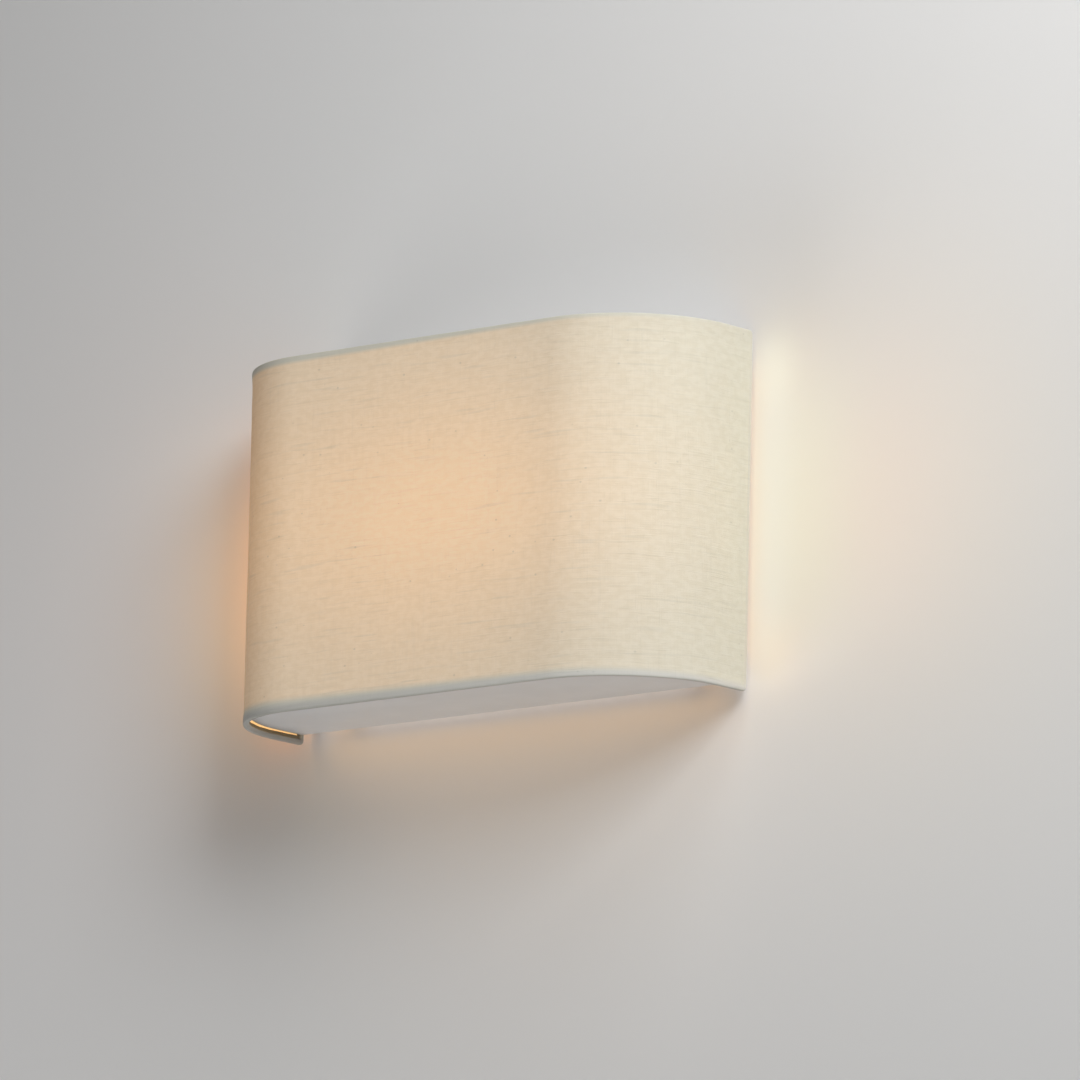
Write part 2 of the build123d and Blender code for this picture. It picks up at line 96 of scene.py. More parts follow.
# ---------------------------------------------------------------- node helpers
class Nodes:
    """Short names for the shader nodes used below. A value is a number or a socket."""

    def __init__(self, name):
        self.mat = bpy.data.materials.new(name)
        self.mat.use_nodes = True
        self.t = self.mat.node_tree
        self.t.nodes.clear()
        self.out = self.t.nodes.new("ShaderNodeOutputMaterial")
        self.bsdf = self.t.nodes.new("ShaderNodeBsdfPrincipled")
        self.t.links.new(self.bsdf.outputs[0], self.out.inputs["Surface"])

    def put(self, socket, value):
        if isinstance(value, bpy.types.NodeSocket):
            self.t.links.new(value, socket)
        elif value is not None:
            socket.default_value = value

    def set(self, **values):
        for key, value in values.items():
            self.put(self.bsdf.inputs[key.replace("_", " ")], value)
        return self

    def math(self, op, a, b=None, c=None, clamp=False):
        n = self.t.nodes.new("ShaderNodeMath")
        n.operation, n.use_clamp = op, clamp
        for socket, value in zip(n.inputs, (a, b, c)):
            self.put(socket, value)
        return n.outputs[0]

    def add(self, *v):
        r = v[0]
        for x in v[1:]:
            r = self.math("ADD", r, x)
        return r

    def mul(self, *v):
        r = v[0]
        for x in v[1:]:
            r = self.math("MULTIPLY", r, x)
        return r

    def sub(self, a, b):
        return self.math("SUBTRACT", a, b)

    def step(self, v, lo, hi, a=0.0, b=1.0):
        """a below lo, b above hi, smooth in between."""
        n = self.t.nodes.new("ShaderNodeMapRange")
        n.interpolation_type = "SMOOTHSTEP"
        for key, value in (("Value", v), ("From Min", lo), ("From Max", hi), ("To Min", a), ("To Max", b)):
            self.put(n.inputs[key], value)
        return n.outputs[0]

    def vec(self, x, y, z=0.0):
        n = self.t.nodes.new("ShaderNodeCombineXYZ")
        for socket, value in zip(n.inputs, (x, y, z)):
            self.put(socket, value)
        return n.outputs[0]

    def xyz(self, v):
        n = self.t.nodes.new("ShaderNodeSeparateXYZ")
        self.put(n.inputs[0], v)
        return n.outputs[0], n.outputs[1], n.outputs[2]

    def uv(self, name):
        n = self.t.nodes.new("ShaderNodeUVMap")
        n.uv_map = name
        return n.outputs[0]

    def place(self):
        """The point in the object's own frame, in millimetres."""
        n = self.t.nodes.new("ShaderNodeTexCoord")
        m = self.t.nodes.new("ShaderNodeVectorMath")
        m.operation = "SCALE"
        self.t.links.new(n.outputs["Object"], m.inputs[0])
        m.inputs["Scale"].default_value = 1000.0
        return m.outputs[0]

    def scaled(self, v, sx, sy, sz):
        n = self.t.nodes.new("ShaderNodeVectorMath")
        n.operation = "MULTIPLY"
        self.put(n.inputs[0], v)
        n.inputs[1].default_value = (sx, sy, sz)
        return n.outputs[0]

    def noise(self, v, size=1.0, detail=2.0, rough=0.5, distortion=0.0):
        """Noise about 0.5, with features of roughly this size."""
        n = self.t.nodes.new("ShaderNodeTexNoise")
        self.put(n.inputs["Vector"], v)
        for key, value in (("Scale", 1.0 / size), ("Detail", detail), ("Roughness", rough), ("Distortion", distortion)):
            n.inputs[key].default_value = value
        return n.outputs["Fac"] if "Fac" in n.outputs else n.outputs[0]

    def cells(self, v, size=1.0, feature="F1", randomness=1.0):
        n = self.t.nodes.new("ShaderNodeTexVoronoi")
        n.feature = feature
        self.put(n.inputs["Vector"], v)
        n.inputs["Scale"].default_value = 1.0 / size
        n.inputs["Randomness"].default_value = randomness
        return n

    def mix(self, fac, a, b):
        n = self.t.nodes.new("ShaderNodeMix")
        n.data_type = "RGBA"
        self.put(n.inputs["Factor"], fac)
        for key, value in (("A", a), ("B", b)):
            socket = [s for s in n.inputs if s.name == key and s.type == "RGBA"][0]
            self.put(socket, (*value, 1.0) if isinstance(value, tuple) and len(value) == 3 else value)
        return [s for s in n.outputs if s.type == "RGBA"][0]

    def tone(self, colour, fac):
        """A colour times a number."""
        n = self.t.nodes.new("ShaderNodeVectorMath")
        n.operation = "SCALE"
        self.put(n.inputs[0], colour[:3] if isinstance(colour, tuple) else colour)
        self.put(n.inputs["Scale"], fac)
        return n.outputs[0]

    def bump(self, height, strength=0.3, distance=0.1, normal=None):
        """Bump of that height, in millimetres, for a height of 1."""
        n = self.t.nodes.new("ShaderNodeBump")
        self.put(n.inputs["Height"], height)
        n.inputs["Strength"].default_value = strength
        n.inputs["Distance"].default_value = distance * MM
        if normal is not None:
            self.put(n.inputs["Normal"], normal)
        return n.outputs[0]


# ---------------------------------------------------------------- linen
def d_point(a, t):
    """Places (n, 2) and outward directions (n, 2) along the half-oval: a from the front's middle, t inside the outer face."""
    side, q = np.sign(a), np.abs(a)
    phi = np.clip((q - CX) / R, 0, math.pi / 2)
    x = np.where(q <= CX, q, CX + (R - t) * np.sin(phi))
    y = np.where(q <= CX, Y_FRONT + t, Y_FRONT + R - (R - t) * np.cos(phi)) + np.maximum(q - CX - ARC, 0)
    nx, ny = np.where(q <= CX, 0, np.sin(phi)), np.where(q <= CX, -1, -np.cos(phi))
    return np.stack([side * x, y], 1), np.stack([side * nx, ny], 1)


def steps(half, pitch):
    """Sample places from -half to half: close together near both ends."""
    near = np.array([0, .13, .26, .4, .6, .8, 1.1, 1.5, 2, 2.6, 3.3, 4.2, 5.3, 6.7, 8.5])
    n = int(round(2 * (half - near[-1]) / pitch))
    middle = np.linspace(-half + near[-1], half - near[-1], n + 1)
    return np.concatenate([-half + near[:-1], middle, half - near[:-1][::-1]])


def wave(a, b, seed):
    """Smooth variation within about -1 to 1, the same each run."""
    rng = np.random.default_rng(seed)
    out = np.zeros(np.shape(a))
    for _ in range(7):
        ka, kb = rng.uniform(0.02, 0.12), rng.uniform(0.015, 0.06)
        out = out + np.sin(ka * a + kb * b * rng.choice([-1, 1]) + rng.uniform(0, 6.28)) / 7
    return out * 1.6


def build_linen():
    A, B = steps(S_END, 1.6), steps(Z_RING, 3.0)
    ga, gb = np.meshgrid(A, B, indexing="ij")
    # the wire's bends at the four back corners
    ca, cb = S_END - CLOTH_R, Z_RING - CLOTH_R
    u, v = np.clip((np.abs(ga) - ca) / CLOTH_R, 0, 1), np.clip((np.abs(gb) - cb) / CLOTH_R, 0, 1)
    bent = (u > 0) & (v > 0)
    fa = np.where(bent, np.sign(ga) * (ca + CLOTH_R * u * np.sqrt(1 - v * v / 2)), ga)
    fb = np.where(bent, np.sign(gb) * (cb + CLOTH_R * v * np.sqrt(1 - u * u / 2)), gb)
    # how far inside the wire each point lies
    ea, eb = S_END - np.abs(fa), Z_RING - np.abs(fb)
    corner = np.hypot(np.maximum(CLOTH_R - ea, 0), np.maximum(CLOTH_R - eb, 0))
    d = np.where((ea < CLOTH_R) & (eb < CLOTH_R), CLOTH_R - corner, np.minimum(ea, eb))
    lip = 0.5 * (1 + np.cos(math.pi * np.clip(d / 7.0, 0, 1)))
    still = np.clip(d / 12.0, 0, 1)
    t = -(HEM_R - INSET) * lip - 0.10 * still * wave(fa, fb, 3)

    places, uvs = [], []

    def lay(a, b, tt):
        p, n = d_point(a, tt)
        places.append(np.column_stack([p, b]) * MM)
        uvs.append(np.column_stack([a, b]))

    # d_point takes t as an inset already, so the arcs keep their centres
    lay(fa.ravel(), fb.ravel(), t.ravel())
    na, nb = len(A), len(B)
    index = np.arange(na * nb).reshape(na, nb)
    faces = [
        (index[i, j], index[i + 1, j], index[i + 1, j + 1], index[i, j + 1])
        for i in range(na - 1) for j in range(nb - 1)
    ]

    # border, anticlockwise as seen from outside
    loop = (
        [(i, 0) for i in range(na - 1)] + [(na - 1, j) for j in range(nb - 1)]
        + [(i, nb - 1) for i in range(na - 1, 0, -1)] + [(0, j) for j in range(nb - 1, 0, -1)]
    )
    li = np.array([index[k] for k in loop])
    la, lb = fa.ravel()[li], fb.ravel()[li]
    oa, ob = np.maximum(np.abs(la) - ca, 0), np.maximum(np.abs(lb) - cb, 0)
    length = np.hypot(oa, ob)
    ma, mb = np.sign(la) * oa / length, np.sign(lb) * ob / length
    # room for the turned-in edge: up to the mitre in each corner
    room = np.where(np.abs(lb) >= Z_RING - 1e-6, S_END - np.abs(la), Z_RING - np.abs(lb))
    room = np.maximum(room, CLOTH_R)
    # the hem's section, squarer outside than the wire it is drawn over: (inside, outward)
    theta = np.radians(np.linspace(0, 180, 25))[1:]
    square = np.where(theta <= math.pi / 2, 0.5, 0.75)
    section = [
        (INSET - HEM_R * math.copysign(abs(math.cos(q)) ** e, math.cos(q)), HEM_R * math.sin(q) ** e)
        for q, e in zip(theta[:-1], square)
    ]
    section += [(2.97, -0.02), (2.93, -0.28), (2.82, -0.58), (2.62, -0.90), (2.32, -1.22), (2.02, -1.52), (1.81, -1.86), (1.71, -2.22),
                (1.68, -2.58), (1.73, -2.72), (1.85, -2.84), (1.88, -2.96), (1.80, -3.08), (1.62, -3.15), (1.40, -3.16)]
    ripple = wave(la * 9 + lb * 7, lb * 5 - la * 3, 11)
    before, used = li, 0.0
    last = (-(HEM_R - INSET), 0.0)
    for k, (tt, m) in enumerate(section):
        used += math.hypot(tt - last[0], m - last[1])
        last = (tt, m)
        share = min(1.0, (k + 1) / 6)
        swell = 1 + 0.025 * share * ripple
        tk = INSET + (tt - INSET) * (swell if k < 24 else 1)
        mk = m * (swell if k < 24 else 1 + 0.05 * ripple)
        mk = np.maximum(mk * np.ones(len(la)), -room)
        p, _ = d_point(la + mk * ma, tk * np.ones(len(la)))
        places.append(np.column_stack([p, lb + mk * mb]) * MM)
        uvs.append(np.column_stack([la + used * ma, lb + used * mb]))
        now = np.arange(len(la)) + sum(len(x) for x in places[:-1])
        nxt = np.roll(np.arange(len(la)), -1)
        faces += [(before[i], now[i], now[nxt[i]], before[nxt[i]]) for i in range(len(la))]
        before = now

    verts, uv = np.concatenate(places), np.concatenate(uvs)
    mesh = bpy.data.meshes.new("linen_shade")
    mesh.from_pydata(verts.tolist(), [], [tuple(int(x) for x in f) for f in faces])
    layer = mesh.uv_layers.new(name="cloth")
    corner_verts = np.empty(len(mesh.loops), np.int32)
    mesh.loops.foreach_get("vertex_index", corner_verts)
    layer.data.foreach_set("uv", (uv[corner_verts] * MM).astype(np.float32).ravel())
    bm = bmesh.new()
    bm.from_mesh(mesh)
    bmesh.ops.remove_doubles(bm, verts=bm.verts, dist=4e-6)
    bmesh.ops.dissolve_degenerate(bm, edges=bm.edges, dist=2e-6)
    for f in bm.faces:
        f.smooth = True
    bm.to_mesh(mesh)
    bm.free()
    mesh.update()
    obj = bpy.data.objects.new("linen_shade", mesh)
    bpy.context.scene.collection.objects.link(obj)
    return obj


# the lamp's glow through the linen, painted into the cloth as emission
GLOW = dict(peak=0.380, colour=(1.0, 0.380, 0.0), s0=22.0, z0=3.2, wide=155.0, high=81.0, even=0.16, tilt=0.0055)


def linen_material():
    n = Nodes("linen")
    u, v, _ = n.xyz(n.uv("cloth"))
    u, v = n.mul(u, 1000.0), n.mul(v, 1000.0)
    # threads wander a little
    U = n.add(u, n.mul(n.sub(n.noise(n.vec(n.mul(u, 1 / 14), n.mul(v, 1 / 30), 2.0), detail=2), 0.5), 2.4))
    V = n.add(v, n.mul(n.sub(n.noise(n.vec(n.mul(u, 1 / 34), n.mul(v, 1 / 9), 5.0), detail=2), 0.5), 2.0))
    sa, sb = n.math("SINE", n.mul(U, math.pi / 0.50)), n.math("SINE", n.mul(V, math.pi / 0.54))
    over = n.step(n.mul(sa, sb), -0.35, 0.35)
    warp_h, weft_h = n.math("ABSOLUTE", sa), n.math("ABSOLUTE", sb)
    height = n.add(n.mul(over, warp_h), n.mul(n.sub(1.0, over), weft_h))
    # each thread's own thickness
    weft = n.noise(n.vec(n.mul(u, 1 / 26), n.mul(V, 1 / 0.62), 3.1), detail=1.5)
    warp = n.noise(n.vec(n.mul(U, 1 / 0.6), n.mul(v, 1 / 24), 7.7), detail=1.5)
    # slubs: long and thin, most of them along the weft
    slub = n.step(n.noise(n.vec(n.mul(u, 1 / 24), n.mul(V, 1 / 1.15), 1.7), detail=1.0), 0.60, 0.74)
    slub = n.math("MAXIMUM", slub, n.mul(0.7, n.step(n.noise(n.vec(n.mul(u, 1 / 9), n.mul(V, 1 / 0.8), 9.2), detail=1.0), 0.63, 0.76)))
    long_slub = n.step(n.noise(n.vec(n.mul(u, 1 / 36), n.mul(V, 1 / 2.3), 12.6), detail=1.0), 0.62, 0.76)
    long_cross = n.step(n.noise(n.vec(n.mul(U, 1 / 2.6), n.mul(v, 1 / 30), 15.3), detail=1.0), 0.60, 0.76)
    cross = n.step(n.noise(n.vec(n.mul(U, 1 / 0.9), n.mul(v, 1 / 13), 4.4), detail=1.0), 0.62, 0.76)
    dots = n.cells(n.vec(n.mul(u, 1 / 1.4), v, 0.5), size=7.0)
    rare = n.step(n.xyz(dots.outputs["Color"])[0], 0.42, 0.44)
    speck = n.mul(rare, n.sub(1.0, n.step(dots.outputs["Distance"], 0.05, 0.105)))
    cloud = n.sub(n.noise(n.vec(n.mul(u, 1 / 46), n.mul(v, 1 / 30), 6.0), detail=2), 0.5)
    mottle = n.sub(n.noise(n.vec(n.mul(u, 1 / 5.5), n.mul(v, 1 / 3.2), 8.0), detail=2), 0.5)
    # on the hems the cloth is doubled over the wire and nothing lights it from behind
    au, av = n.math("ABSOLUTE", u), n.math("ABSOLUTE", v)

    thread = n.add(n.mul(n.sub(weft, 0.5), 0.16), n.mul(n.sub(warp, 0.5), 0.07), n.mul(n.sub(height, 0.75), 0.05))
    through = n.add(1.0, n.mul(thread, 0.65), n.mul(mottle, 0.04), n.mul(cloud, 0.06), n.mul(slub, -0.06), n.mul(long_slub, -0.13), n.mul(long_cross, -0.035), n.mul(cross, -0.030), n.mul(speck, -0.22))
    ground = n.add(1.0, n.mul(thread, 0.6), n.mul(mottle, 0.022), n.mul(cloud, 0.025), n.mul(slub, -0.03), n.mul(long_slub, -0.040), n.mul(long_cross, -0.012), n.mul(cross, -0.018), n.mul(speck, -0.12))

    # painted light: the lamp's glow as emission, a hot spot placed on the cloth and cut off at the hems
    ds, dz = n.mul(n.sub(u, GLOW["s0"]), 1 / GLOW["wide"]), n.mul(n.sub(v, GLOW["z0"]), 1 / GLOW["high"])
    skew = n.add(1.0, n.mul(ds, 0.25))
    glow = n.math("DIVIDE", n.math("EXPONENT", n.mul(-1.0, ds, ds, skew)), n.add(1.0, n.mul(dz, dz)))
    glow = n.add(n.mul(glow, 1.0 - GLOW["even"]), n.mul(GLOW["even"], n.sub(1.0, n.mul(u, GLOW["tilt"]))))
    up, down = n.sub(v, n.mul(u, 0.008)), n.add(n.mul(v, -1.0), n.sub(1.0, n.mul(u, 0.010)))
    lit = n.mul(n.step(up, 94.4, 97.2, 1.0, 0.0), n.step(down, 91.8, 96.6, 1.0, 0.0), n.step(au, 215.6, 217.9, 1.0, 0.0))
    glow = n.mul(glow, lit)
    emission = n.tone(GLOW["colour"], n.mul(GLOW["peak"], glow, through))

    hue = n.mix(n.step(mottle, -0.12, 0.12), (0.668, 0.646, 0.538), (0.692, 0.674, 0.572))
    hem = n.mix(n.step(v, -97.0, -93.0), (0.655, 0.642, 0.592), (0.665, 0.640, 0.545))
    hue = n.mix(lit, hem, hue)
    # painted shade: the lower hem is painted a little darker towards the left, and the turned-in edge inside the hem is
    # painted dark brown for the shade it lies in
    grey = n.mul(n.step(v, -97.0, -93.0, 1.0, 0.0), n.step(u, -160.0, 120.0, 1.0, 0.0))
    painted_shade_flap = n.math("MAXIMUM", n.step(av, 103.2, 104.4), n.step(au, 224.2, 225.4))
    hue = n.mix(painted_shade_flap, hue, (0.42, 0.36, 0.25))
    base = n.tone(hue, n.mul(ground, n.sub(1.0, n.mul(grey, 0.20))))
    n.set(Base_Color=base, Roughness=n.add(0.84, n.mul(n.sub(height, 0.7), -0.10)), Emission_Color=emission)
    b = n.bsdf.inputs
    b["Emission Strength"].default_value = 1.0
    b["Specular IOR Level"].default_value = 0.25
    b["Sheen Weight"].default_value = 0.10
    b["Sheen Roughness"].default_value = 0.45
    relief = n.add(n.mul(height, 0.55), n.mul(slub, 0.9), n.mul(cross, 0.5), n.mul(n.sub(weft, 0.5), 0.8), n.mul(n.sub(warp, 0.5), 0.5))
    n.set(Normal=n.bump(relief, 0.55, 0.11))
    return n.mat


linen = build_linen()
linen.data.materials.append(linen_material())
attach(linen, "shade")
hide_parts("shade_fabric")


# ---------------------------------------------------------------- finishes of the CAD pieces
def enamel():
    """Satin powder coat: fine orange peel, slight cloudiness, a trace of dust."""
    n = Nodes("white_enamel")
    p = n.place()
    peel = n.add(n.mul(n.noise(p, 1.1, 2), 0.6), n.mul(n.noise(p, 3.6, 1), 0.4))
    cloud = n.noise(p, 38, 3)
    dust = n.step(n.noise(p, 0.55, 2, 0.6), 0.66, 0.78)
    base = n.mix(n.step(cloud, 0.38, 0.62), (0.808, 0.817, 0.826), (0.850, 0.859, 0.868))
    base = n.mix(n.mul(dust, 0.16), base, (0.55, 0.53, 0.50))
    n.set(Base_Color=base, Roughness=n.add(0.34, n.mul(n.sub(cloud, 0.5), 0.14), n.mul(dust, 0.2)))
    n.set(Normal=n.bump(peel, 0.30, 0.05))
    return n.mat


def wire_coat():
    n = Nodes("frame_wire")
    p = n.place()
    cloud = n.noise(p, 9, 3)
    chip = n.step(n.noise(p, 2.2, 3, 0.6), 0.66, 0.70)
    base = n.mix(n.step(cloud, 0.35, 0.65), (0.60, 0.60, 0.58), (0.68, 0.68, 0.66))
    base = n.mix(chip, base, (0.30, 0.28, 0.26))
    n.set(Base_Color=base, Roughness=n.add(0.40, n.mul(n.sub(cloud, 0.5), 0.2)), Metallic=n.mul(chip, 0.8))
    n.set(Normal=n.bump(n.sub(n.noise(p, 0.8, 2), n.mul(chip, 0.6)), 0.3, 0.05))
    return n.mat


def liner():
    """Matt styrene laminate: even, with a trace of grain and a few scuffs."""
    n = Nodes("liner_styrene")
    p = n.place()
    cloud, grain = n.noise(p, 42, 2), n.noise(p, 0.35, 2)
    scuff = n.step(n.noise(n.scaled(p, 1 / 14, 1 / 14, 1.2), 1, 3, 0.6), 0.66, 0.74)
    base = n.mix(n.step(cloud, 0.35, 0.65), (0.80, 0.785, 0.745), (0.845, 0.835, 0.80))
    base = n.mix(n.mul(scuff, 0.35), base, (0.70, 0.685, 0.64))
    n.set(Base_Color=base, Roughness=n.add(0.52, n.mul(n.sub(grain, 0.5), 0.15), n.mul(scuff, 0.1)))
    # painted light: the lamp's light in the laminate, painted as emission, brightest along the two edges
    z = n.math("ABSOLUTE", n.xyz(p)[2])
    lit = n.mul(n.add(0.10, n.mul(0.65, n.step(z, 80.0, 91.5))), n.step(z, 93.6, 94.1, 1.0, 0.0), n.add(0.9, n.mul(cloud, 0.2)))
    n.set(Emission_Color=n.tone((1.0, 0.53, 0.15), lit))
    n.bsdf.inputs["Emission Strength"].default_value = 1.0
    n.set(Normal=n.bump(grain, 0.25, 0.03))
    return n.mat


def galvanised():
    n = Nodes("galvanised")
    p = n.place()
    spangle = n.cells(n.scaled(p, 1, 1, 1), 5.5)
    edge = n.cells(p, 5.5, "DISTANCE_TO_EDGE")
    tint = n.xyz(spangle.outputs["Color"])[0]
    streak = n.noise(n.scaled(p, 1 / 16, 1, 1 / 0.5), 1, 2)
    base = n.mix(tint, (0.57, 0.58, 0.60), (0.66, 0.67, 0.69))
    base = n.tone(base, n.add(0.95, n.mul(n.sub(streak, 0.5), 0.2)))
    n.set(Base_Color=base, Roughness=n.add(0.42, n.mul(tint, 0.07), n.mul(n.sub(streak, 0.5), 0.2)))
    n.bsdf.inputs["Metallic"].default_value = 0.92
    n.set(Normal=n.bump(n.add(n.mul(n.step(edge.outputs["Distance"], 0.0, 0.06), 0.4), n.mul(streak, 0.3)), 0.25, 0.05))
    return n.mat


def plated(name, low, high, rough, hue=None):
    """Plated screws, nuts and washers: hazy, with fine tool marks."""
    n = Nodes(name)
    p = n.place()
    haze, marks = n.noise(p, 2.4, 3), n.noise(n.scaled(p, 4, 0.6, 4), 1, 2)
    base = n.mix(n.step(haze, 0.32, 0.68), low, high)
    if hue:
        base = n.mix(n.mul(n.step(n.noise(p, 4.5, 2), 0.45, 0.62), 0.5), base, hue)
    n.set(Base_Color=base, Roughness=n.add(rough, n.mul(n.sub(haze, 0.5), 0.22), n.mul(n.sub(marks, 0.5), 0.10)))
    n.bsdf.inputs["Metallic"].default_value = 1.0
    n.set(Normal=n.bump(n.add(n.mul(marks, 0.6), n.mul(haze, 0.4)), 0.22, 0.04))
    return n.mat


def spring_steel():
    """Blued strip: dark, with brighter rubbed places."""
    n = Nodes("spring_steel")
    p = n.place()
    tone, rub = n.noise(p, 7, 3), n.step(n.noise(n.scaled(p, 1, 1, 0.3), 1.6, 3, 0.6), 0.60, 0.76)
    base = n.mix(n.step(tone, 0.35, 0.65), (0.028, 0.026, 0.028), (0.060, 0.050, 0.044))
    base = n.mix(n.mul(rub, 0.5), base, (0.20, 0.19, 0.18))
    n.set(Base_Color=base, Roughness=n.add(0.40, n.mul(n.sub(tone, 0.5), 0.3), n.mul(rub, -0.08)), Metallic=n.add(0.55, n.mul(rub, 0.4)))
    n.set(Normal=n.bump(n.noise(p, 0.5, 2), 0.2, 0.03))
    return n.mat


def moulded(name, low, high, rough, grain=0.5, depth=0.04, sheen=0.0):
    """Moulded plastic or rubber: fine texture, slight cloudiness."""
    n = Nodes(name)
    p = n.place()
    fine, cloud = n.noise(p, grain, 2), n.noise(p, grain * 22, 2)
    mark = n.step(n.noise(p, grain * 2.6, 3, 0.65), 0.68, 0.78)
    base = n.mix(n.step(cloud, 0.35, 0.65), low, high)
    base = n.tone(base, n.add(1.0, n.mul(n.sub(fine, 0.5), 0.10), n.mul(mark, -0.08)))
    n.set(Base_Color=base, Roughness=n.add(rough, n.mul(n.sub(fine, 0.5), 0.16), n.mul(mark, 0.12)))
    n.bsdf.inputs["Sheen Weight"].default_value = sheen
    n.set(Normal=n.bump(fine, 0.3, depth))
    return n.mat


def board_mask():
    """White solder mask with the relief of the copper under it."""
    n = Nodes("board_mask")
    p = n.place()
    x, y, z = n.xyz(p)
    # copper islands between the rows of chips, seen as a slight step in the mask
    gap_z = n.math("ABSOLUTE", n.sub(n.math("FRACT", n.add(n.mul(z, 1 / 14.0), 1.5)), 0.5))
    gap_x = n.math("ABSOLUTE", n.sub(n.math("FRACT", n.add(n.mul(x, 1 / 16.0), 20.0)), 0.5))
    copper = n.mul(n.step(gap_z, 0.035, 0.05), n.step(gap_x, 0.02, 0.03))
    cloud = n.noise(p, 12, 2)
    base = n.mix(copper, (0.74, 0.735, 0.70), (0.83, 0.83, 0.81))
    base = n.tone(base, n.add(1.0, n.mul(n.sub(cloud, 0.5), 0.05)))
    n.set(Base_Color=base, Roughness=n.add(0.26, n.mul(n.sub(cloud, 0.5), 0.12)))
    n.set(Normal=n.bump(n.add(copper, n.mul(n.noise(p, 0.7, 2), 0.2)), 0.5, 0.05))
    return n.mat


def phosphor():
    """Lit phosphor: brightest in the middle of each chip."""
    n = Nodes("led_phosphor")
    p = n.place()
    x, y, z = n.xyz(p)
    fx = n.math("ABSOLUTE", n.sub(n.math("FRACT", n.add(n.mul(x, 1 / 16.0), 20.0)), 0.5))
    fz = n.math("ABSOLUTE", n.sub(n.math("FRACT", n.add(n.mul(z, 1 / 14.0), 10.5)), 0.5))
    core = n.mul(n.step(fx, 0.06, 0.165, 1.0, 0.0), n.step(fz, 0.04, 0.10, 1.0, 0.0))
    grain = n.noise(p, 0.25, 2)
    n.set(Base_Color=n.mix(grain, (0.86, 0.62, 0.16), (0.92, 0.72, 0.24)), Roughness=n.add(0.22, n.mul(grain, 0.1)))
    n.set(Emission_Color=n.tone((1.0, 0.74, 0.42), n.mul(n.add(0.25, core), n.add(0.85, n.mul(grain, 0.3)))))
    n.bsdf.inputs["Emission Strength"].default_value = 3.0
    n.bsdf.inputs["Coat Weight"].default_value = 0.5
    n.set(Normal=n.bump(grain, 0.2, 0.02))
    return n.mat


FINISH = {
    "white_enamel": enamel(),
    "frame_wire": wire_coat(),
    "liner_styrene": liner(),
    "galvanised": galvanised(),
    "zinc": plated("zinc", (0.52, 0.53, 0.55), (0.68, 0.69, 0.70), 0.30, (0.66, 0.62, 0.50)),
    "nickel": plated("nickel", (0.60, 0.575, 0.54), (0.72, 0.70, 0.66), 0.16),
    "brass": plated("brass", (0.60, 0.42, 0.17), (0.76, 0.57, 0.27), 0.24),
    "green_screw": plated("green_screw", (0.03, 0.20, 0.07), (0.05, 0.32, 0.12), 0.34),
    "spring_steel": spring_steel(),
    "black_rubber": moulded("black_rubber", (0.018, 0.018, 0.019), (0.032, 0.031, 0.030), 0.62, 0.6, 0.05, 0.2),
    "block_plastic": moulded("block_plastic", (0.66, 0.63, 0.54), (0.72, 0.69, 0.60), 0.42),
    "driver_plastic": moulded("driver_plastic", (0.66, 0.66, 0.64), (0.73, 0.73, 0.71), 0.50, 0.9, 0.07),
    "board_mask": board_mask(),
    "led_phosphor": phosphor(),
    "pad_grey": moulded("pad_grey", (0.13, 0.145, 0.16), (0.18, 0.195, 0.21), 0.70, 0.7, 0.05, 0.1),
    "connector_white": moulded("connector_white", (0.74, 0.74, 0.71), (0.80, 0.80, 0.77), 0.36),
    "insul_black": moulded("insul_black", (0.014, 0.014, 0.015), (0.024, 0.024, 0.025), 0.42, 0.4, 0.02),
    "insul_white": moulded("insul_white", (0.66, 0.66, 0.64), (0.74, 0.74, 0.72), 0.42, 0.4, 0.02),
    "insul_green": moulded("insul_green", (0.02, 0.16, 0.05), (0.03, 0.22, 0.07), 0.42, 0.4, 0.02),
    "insul_red": moulded("insul_red", (0.38, 0.012, 0.010), (0.48, 0.02, 0.016), 0.42, 0.4, 0.02),
}
for part in frame["record"]["subparts"]:
    if part["node"] == "shade_fabric":
        continue
    NODES[part["node"]].data.materials.append(FINISH[part["material_slot"]])


# ---------------------------------------------------------------- wall: solid from the front, not seen from behind
def wall():
    n = Nodes("wall_paint")
    p = n.place()
    tone = n.noise(p, 420, 2)
    n.set(Base_Color=n.mix(tone, (0.795, 0.792, 0.785), (0.805, 0.803, 0.797)), Roughness=0.9)
    n.bsdf.inputs["Specular IOR Level"].default_value = 0.2
    n.set(Normal=n.bump(n.noise(p, 5.0, 3), 0.15, 0.12))
    side = n.t.nodes.new("ShaderNodeNewGeometry").outputs["Backfacing"]
    clear = n.t.nodes.new("ShaderNodeBsdfTransparent")
    both = n.t.nodes.new("ShaderNodeMixShader")
    n.t.links.new(side, both.inputs[0])
    n.t.links.new(n.bsdf.outputs[0], both.inputs[1])
    n.t.links.new(clear.outputs[0], both.inputs[2])
    n.t.links.new(both.outputs[0], n.out.inputs["Surface"])
    mesh = bpy.data.meshes.new("backdrop_wall")
    k = 20.0
    mesh.from_pydata([(-k, 0, -k), (k, 0, -k), (k, 0, k), (-k, 0, k)], [], [(0, 1, 2, 3)])
    mesh.materials.append(n.mat)
    o = bpy.data.objects.new("backdrop_wall", mesh)
    bpy.context.scene.collection.objects.link(o)
    o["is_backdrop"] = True
    return o


backdrop = wall()

# ---------------------------------------------------------------- lights
SOFT = {}


def aim(o, at, frm):
    o.location = frm
    o.rotation_euler = (Vector(at) - Vector(frm)).to_track_quat("-Z", "Y").to_euler()


